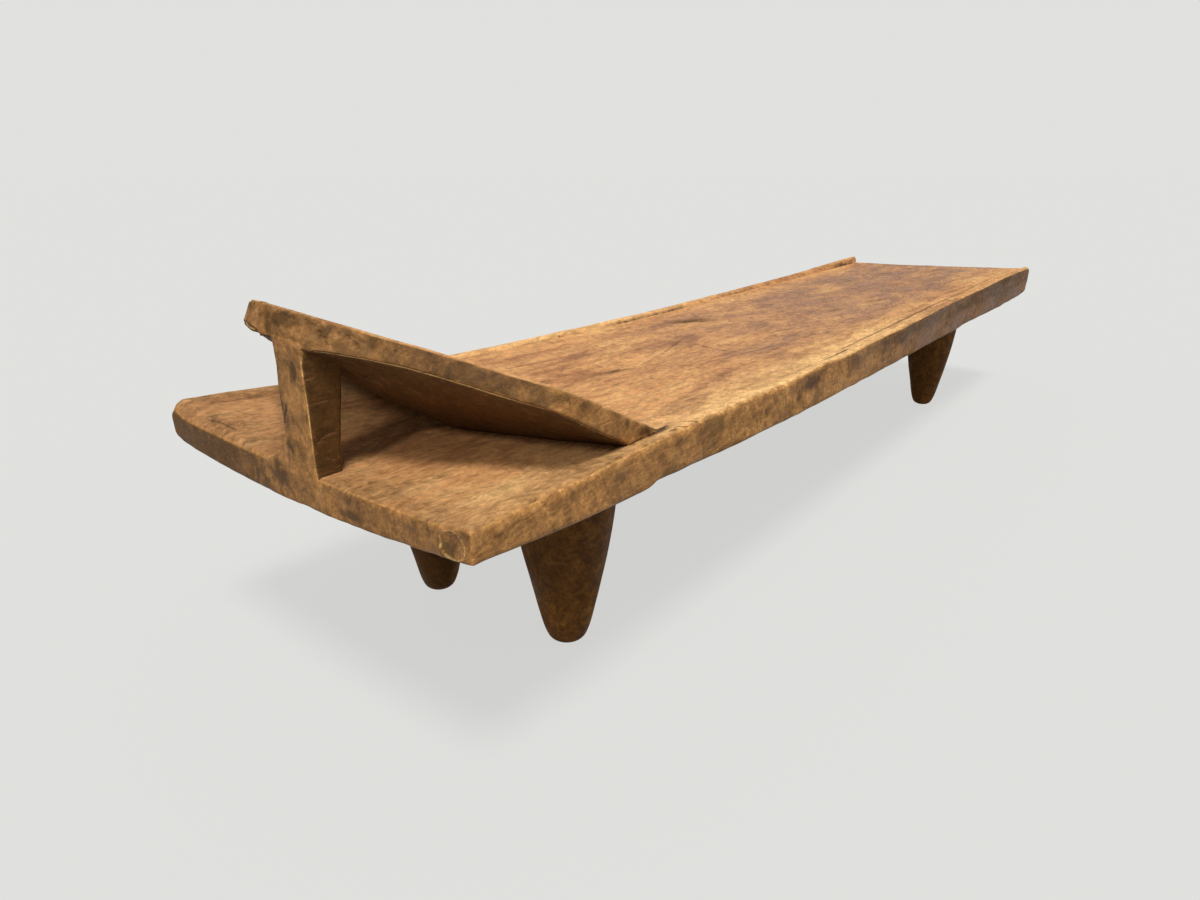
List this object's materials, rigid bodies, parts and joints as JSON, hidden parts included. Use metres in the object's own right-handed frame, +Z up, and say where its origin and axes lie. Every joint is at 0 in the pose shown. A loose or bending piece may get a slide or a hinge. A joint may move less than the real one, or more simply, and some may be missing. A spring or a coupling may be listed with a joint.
{
  "type": "daybed",
  "caption": "Low, long bed carved from one log: slab with raised long edges, sloping arrow-shaped headrest board on a short post, tapering legs.",
  "frame": {"origin": "middle of the footprint, on the floor", "axes": "+X along the bed from the headrest towards the foot end, +Y to the left of a sleeper lying on their back with the head on the headrest, +Z up"},
  "size_m": [2.08, 0.5495, 0.4746],
  "materials": {
    "bed_slab": "hand-worn, satin, adzed side faces",
    "headrest_board": "hand-worn, satin",
    "headrest_post": "hand-worn, satin",
    "leg_head_right": "adzed, dull",
    "leg_head_left": "adzed, dull",
    "leg_foot_right": "adzed, dull",
    "leg_foot_left": "adzed, dull"
  },
  "bodies": {
    "root": {"bed_slab": "bed_slab", "headrest_board": "headrest_board", "headrest_post": "headrest_post", "leg_head_right": "leg_head_right", "leg_head_left": "leg_head_left", "leg_foot_right": "leg_foot_right", "leg_foot_left": "leg_foot_left"}
  },
  "joints": []
}
